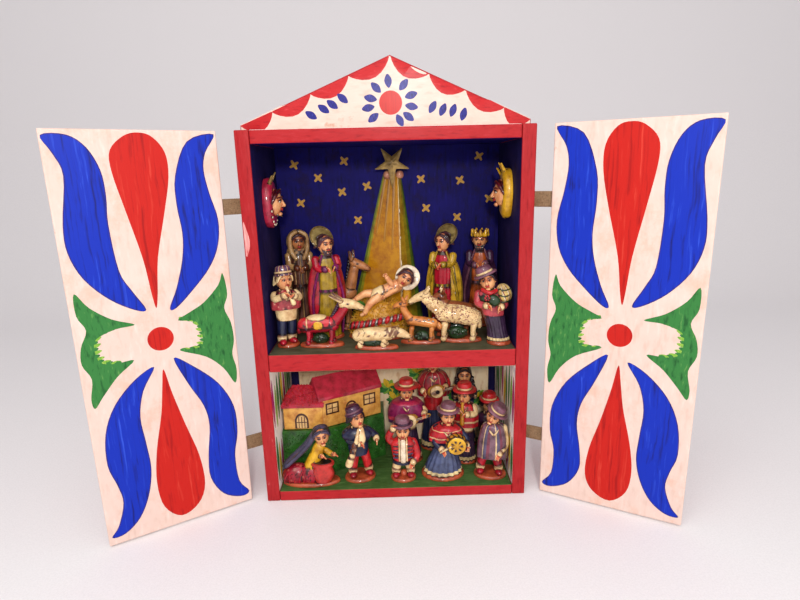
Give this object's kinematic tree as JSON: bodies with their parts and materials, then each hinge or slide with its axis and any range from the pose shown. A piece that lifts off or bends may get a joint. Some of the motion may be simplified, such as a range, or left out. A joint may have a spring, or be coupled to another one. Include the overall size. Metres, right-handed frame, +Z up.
{
  "type": "painted retablo",
  "caption": "Painted wooden box shrine with hinged doors on leather straps, a gabled crest, and modelled figures in an upper nativity niche and a lower feast niche.",
  "frame": {"origin": "centre of the case's underside, where it stands", "axes": "+X to the right as one faces the open niches, -Y out of the niches' open front, +Z up"},
  "size_m": [0.4197, 0.136, 0.3393],
  "materials": {
    "red": "brushed red paint over wood, worn pale at the edges",
    "night": "dark night-blue brushed paint over wood",
    "white": "white gessoed wood with painted red scallops and blue petals",
    "door_white": "white gessoed wood with painted blue, red and green leaves",
    "leather": "thick brown strap leather, matt and scuffed",
    "gold": "gold-pewter paint",
    "ochre": "yellow ochre paint, varnished",
    "crimson": "crimson paint, glossy varnish",
    "yellow": "yellow paint, glossy varnish",
    "green": "dark green paint, varnished",
    "plaster": "tan painted walls and a crimson roof",
    "orange": "orange paint, glossy varnish",
    "cream": "cream paint, glossy varnish",
    "purple": "dark purple paint, glossy varnish",
    "navy": "dark navy paint, glossy varnish",
    "brown": "red-brown paint, glossy varnish"
  },
  "bodies": {
    "case": {"side_left": "red", "side_right": "red", "top_board": "red", "shelf": "red", "bottom_board": "red", "back_panel": "night", "pediment": "white", "strap_upper_left": "leather", "strap_lower_left": "leather", "strap_upper_right": "leather", "strap_lower_right": "leather", "light_beam": "ochre", "star": "gold", "sun_mask": "crimson", "moon_mask": "yellow", "green_bank": "green", "house": "plaster", "father": "crimson", "mother": "crimson", "king": "orange", "veiled_woman": "cream", "piper": "crimson", "bundle_woman": "purple", "infant_on_straw": "cream", "saddled_llama": "crimson", "lamb": "cream", "fawn": "orange", "alpaca": "cream", "ox": "brown", "donkey": "brown", "horn_player": "navy", "saluting_man": "crimson", "drum_woman": "navy", "poncho_man": "purple", "mandolin_woman": "purple", "lute_player": "crimson", "plaited_woman": "navy", "red_hat_piper": "crimson", "feast_goer": "purple", "seated_woman": "crimson"},
    "door_left": {"door_left": "door_white"},
    "door_right": {"door_right": "door_white"}
  },
  "joints": [
    {"name": "left_door", "type": "hinge", "parent": "case", "child": "door_left", "pos_m": [-0.111, -0.0397, 0.145], "axis": [0, 0, 1], "range_deg": [-51, 149], "deforming": ["strap_upper_left", "strap_lower_left"]},
    {"name": "right_door", "type": "hinge", "parent": "case", "child": "door_right", "pos_m": [0.111, -0.0397, 0.145], "axis": [0, 0, -1], "range_deg": [-49, 151], "deforming": ["strap_upper_right", "strap_lower_right"]}
  ]
}
